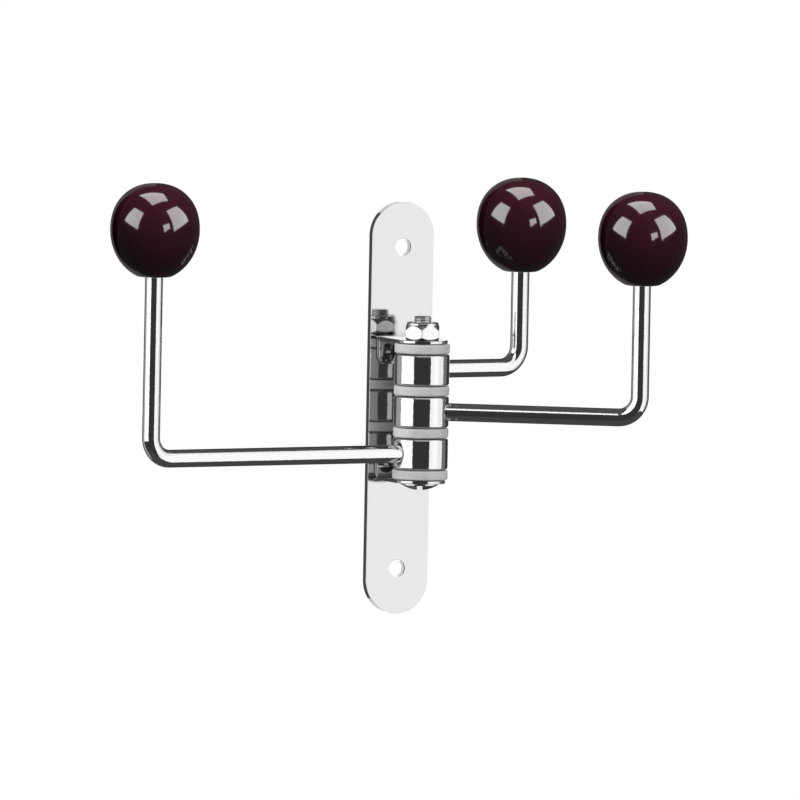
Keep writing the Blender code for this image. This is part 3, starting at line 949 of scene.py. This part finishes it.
def make_knob(prefix, arm):
    """The ball on its rod, open below for its insert.

    It casts no shadow, which would cut into the highlights of the other balls.
    """
    node = prefix + "_knob"
    hole = spread(prefix + "_insert", arm["knob_centre"]) + FIT_GAP
    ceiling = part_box(prefix + "_insert")[1].z - arm["pivot"].z - arm["rise"] + FIT_GAP
    outline = ball_outline(spread(node, arm["knob_centre"]), arm["knob_height"])
    outline += [(hole, 0), (hole, ceiling), (0, ceiling)]
    base = Matrix.Translation((arm["reach"], 0, arm["rise"]))
    piece = place(node + "_fine", turned_mesh(node + "_fine", outline), arm["place"] @ base)
    hide_in_mirrors(piece)
    piece.visible_shadow = False
    dress(piece, node, arm["body"], BURGUNDY)


def make_insert(prefix, arm):
    """The blind bush in the ball, round the rod's end."""
    node = prefix + "_insert"
    low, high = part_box(node)
    radius = spread(node, arm["knob_centre"])
    bottom = low.z - arm["pivot"].z - arm["rise"]
    top = high.z - arm["pivot"].z - arm["rise"]
    bore = arm["rod_radius"] + FIT_GAP
    bore_end = arm["rod_top"] - arm["rise"] + FIT_GAP
    outline = [
        (0, top),
        (radius, top),
        (radius, bottom + INSERT_EDGE),
        (radius - INSERT_EDGE, bottom),
        (bore + INSERT_EDGE, bottom),
        (bore, bottom + INSERT_EDGE),
        (bore, bore_end),
        (0, bore_end),
    ]
    base = Matrix.Translation((arm["reach"], 0, arm["rise"]))
    piece = place(node + "_fine", turned_mesh(node + "_fine", outline), arm["place"] @ base)
    hide_in_mirrors(piece)
    dress(piece, node, arm["body"], BRASS)


def make_camera():
    """The photograph's camera, with parallel rays."""
    azimuth, elevation = math.radians(CAMERA_AZIMUTH), math.radians(CAMERA_ELEVATION)
    roll = math.radians(CAMERA_ROLL)
    back = Vector(
        (
            math.sin(azimuth) * math.cos(elevation),
            -math.cos(azimuth) * math.cos(elevation),
            math.sin(elevation),
        )
    )
    level = Vector((math.cos(azimuth), math.sin(azimuth), 0))
    upright = back.cross(level)
    right = math.cos(roll) * level + math.sin(roll) * upright
    up = math.cos(roll) * upright - math.sin(roll) * level
    across = (ORIGIN_PIXEL[0] - IMAGE_PIXELS / 2) / PIXELS_PER_METRE
    down = (ORIGIN_PIXEL[1] - IMAGE_PIXELS / 2) / PIXELS_PER_METRE
    data = bpy.data.cameras.new("camera")
    data.type = "ORTHO"
    data.ortho_scale = IMAGE_PIXELS / PIXELS_PER_METRE
    camera = add_object("camera", data)
    turn = Matrix((right, up, back)).transposed().to_4x4()
    spot = back * CAMERA_DISTANCE - right * across + up * down
    camera.matrix_world = Matrix.Translation(spot) @ turn
    bpy.context.scene.camera = camera


def toward(azimuth, elevation):
    """Unit direction at an azimuth from the camera's direction and an elevation."""
    turn, lift = math.radians(azimuth + CAMERA_AZIMUTH), math.radians(elevation)
    return Vector(
        (math.sin(turn) * math.cos(lift), -math.cos(turn) * math.cos(lift), math.sin(lift))
    )


def make_world():
    """White for the camera and behind the object, a dim studio in mirrors, and a soft fill."""
    world = bpy.data.worlds.new("studio")
    world.use_nodes = True
    bpy.context.scene.world = world
    tree = world.node_tree
    tree.nodes.clear()
    nodes = Nodes(tree)
    path = nodes.add("ShaderNodeLightPath").outputs
    direction = nodes.add("ShaderNodeTexCoord").outputs["Generated"]
    behind = nodes.closeness(direction, toward(180, -CAMERA_ELEVATION))
    backdrop = nodes.math("GREATER_THAN", behind, math.cos(math.radians(BACKDROP_REACH)))
    height = nodes.add("ShaderNodeSeparateXYZ", {0: direction}).outputs["Z"]
    values = {
        0: height,
        1: GROUND_FILL_HEIGHT,
        2: SKY_FILL_HEIGHT,
        3: GROUND_FILL_LEVEL,
        4: SKY_FILL_LEVEL,
    }
    fill = nodes.add("ShaderNodeMapRange", values).outputs[0]
    corner = nodes.closeness(direction, toward(*DARK_CORNER))
    outside = nodes.math("LESS_THAN", corner, math.cos(math.radians(DARK_CORNER_REACH)))
    studio = nodes.math("MAXIMUM", backdrop, nodes.math("MULTIPLY", outside, STUDIO_LEVEL))
    seen = nodes.math("MAXIMUM", path["Is Camera Ray"], path["Is Transmission Ray"])
    glossy = nodes.math("MULTIPLY", path["Is Glossy Ray"], nodes.math("SUBTRACT", 1.0, seen))
    mirrored = nodes.math("MULTIPLY", glossy, studio)
    matt = nodes.math("SUBTRACT", nodes.math("SUBTRACT", 1.0, seen), glossy)
    light = nodes.math("MULTIPLY_ADD", matt, fill, nodes.math("ADD", seen, mirrored))
    shader = nodes.add("ShaderNodeBackground", {0: (1, 1, 1, 1), 1: light})
    output = nodes.add("ShaderNodeOutputWorld")
    tree.links.new(shader.outputs[0], output.inputs[0])


def make_lamp(name, azimuth, elevation, turns, size, level):
    """A soft box. Its turns are in its plane, sideways and back."""
    roll, yaw, pitch = (math.radians(turn) for turn in turns)
    back = toward(azimuth, elevation)
    side = Vector((0, 0, 1)).cross(back).normalized()
    axes = Matrix((side, back.cross(side), back)).transposed()
    axes = axes @ Matrix.Rotation(roll, 3, "Z") @ Matrix.Rotation(-yaw, 3, "Y")
    axes = axes @ Matrix.Rotation(pitch, 3, "X")
    data = bpy.data.lights.new(name, "AREA")
    data.shape = "RECTANGLE"
    data.size = size[0] * LAMP_DISTANCE
    data.size_y = size[1] * LAMP_DISTANCE
    data.energy = level * math.pi * data.size * data.size_y
    lamp = add_object(name, data)
    lamp.matrix_world = Matrix.Translation(LAMP_AIM + back * LAMP_DISTANCE) @ axes.to_4x4()
    lamp.visible_camera = False
    lamp.visible_diffuse = name in LAMPS_FOR_MATT
    return lamp


def make_upright_lamp(name, azimuths, elevations, level):
    """A soft box whose plane stands upright, from its edges' azimuths and elevations."""
    low, high = (math.tan(math.radians(angle)) for angle in elevations)
    elevation = math.atan((low + high) / 2)
    half = math.radians(azimuths[1] - azimuths[0]) / 2
    size = (2 * math.tan(half) * math.cos(elevation), (high - low) * math.cos(elevation))
    tilt = math.degrees(elevation)
    return make_lamp(name, sum(azimuths) / 2, tilt, (0, 0, tilt), size, level)


def shine_on(lamps, receivers):
    """Let lamps light only what a collection holds, or all but what it excludes."""
    for lamp in lamps:
        lamp.light_linking.receiver_collection = receivers


def make_lamps():
    """Three sets of soft boxes: for the knobs, for all but the knobs, and for sheets and hubs."""
    knobs = bpy.data.collections.new("knob_light")
    others = bpy.data.collections.new("metal_light")
    for piece in bpy.data.objects:
        if piece.name.endswith("_knob_fine"):
            knobs.objects.link(piece)
            others.objects.link(piece)
    for item in others.collection_objects:
        item.light_linking.link_state = "EXCLUDE"

    glow = make_lamp(*KNOB_GLOW)
    hide_in_mirrors(glow)
    on_knobs = [make_lamp(*values) for values in KNOB_LAMPS]
    shine_on([glow, *on_knobs, make_upright_lamp(*KNOB_BACK_LAMP)], knobs)

    on_metal = [make_upright_lamp(*values) for values in METAL_LAMPS]
    for azimuth, elevation, level in METAL_ROOM:
        name = "metal_room_" + str(len(on_metal))
        on_metal.append(make_lamp(name, azimuth, elevation, NO_TURNS, METAL_ROOM_SIZE, level))

    plate_back = make_upright_lamp(*PLATE_BACK_LAMP)
    ceiling = make_lamp(*SHEET_CEILING)
    ground = make_lamp(*STACK_GROUND)
    for lamp, lit in ((plate_back, SHEETS[:1]), (ceiling, SHEETS), (ground, SHEETS + HUBS)):
        some = bpy.data.collections.new(lamp.name + "_light")
        for node in lit:
            some.objects.link(bpy.data.objects[node + "_fine"])
        shine_on([lamp], some)

    sky = make_lamp(*SKY_LAMP)
    hide_in_mirrors(sky)
    shine_on([*on_metal, sky], others)


def make_floor():
    """Pale floor well below the object, which glows for the camera so that its edge is lost."""
    shape = bmesh.new()
    circle = arc((0, 0), FLOOR_RADIUS, 0, 360, ROUND_STEPS)[:-1]
    shape.faces.new([shape.verts.new((*spot, 0)) for spot in circle])
    floor = place("floor", finish_mesh("floor", shape), Matrix.Translation((0, 0, -FLOOR_DEPTH)))
    material, shader, nodes = new_finish("floor", Specular_IOR_Level=0.0)
    cloud = nodes.noise(FLOOR_CLOUD)
    color = nodes.shade(cloud, FLOOR_SHADES)
    relief = nodes.bump(nodes.noise(FLOOR_GRAIN), FLOOR_GRAIN_HEIGHT)
    connect(nodes, shader, color, nodes.between(cloud, *FLOOR_HAZE), relief)
    seen = nodes.add("ShaderNodeLightPath").outputs["Is Camera Ray"]
    glow = nodes.math("MULTIPLY", seen, FLOOR_GLOW)
    shader.inputs["Emission Color"].default_value = (1, 1, 1, 1)
    nodes.tree.links.new(glow, shader.inputs["Emission Strength"])
    floor.data.materials.append(material)
    hide_in_mirrors(floor)
    floor.visible_diffuse = False
    floor.visible_shadow = False


bpy.context.scene.view_settings.view_transform = "Standard"
make_back_plate()
make_bracket("upper_bracket", 1)
make_bracket("lower_bracket", -1)
for washer in WASHERS:
    make_base_ring(washer, WASHER_EDGE)
make_screw()
make_nut()
make_base_ring("nut_lock_ring", FIT_GAP)
for prefix in ARMS:
    arm = read_arm(prefix)
    make_hub(prefix, arm)
    make_rod(prefix, arm)
    make_knob(prefix, arm)
    make_insert(prefix, arm)
make_floor()
make_lamps()
make_world()
make_camera()
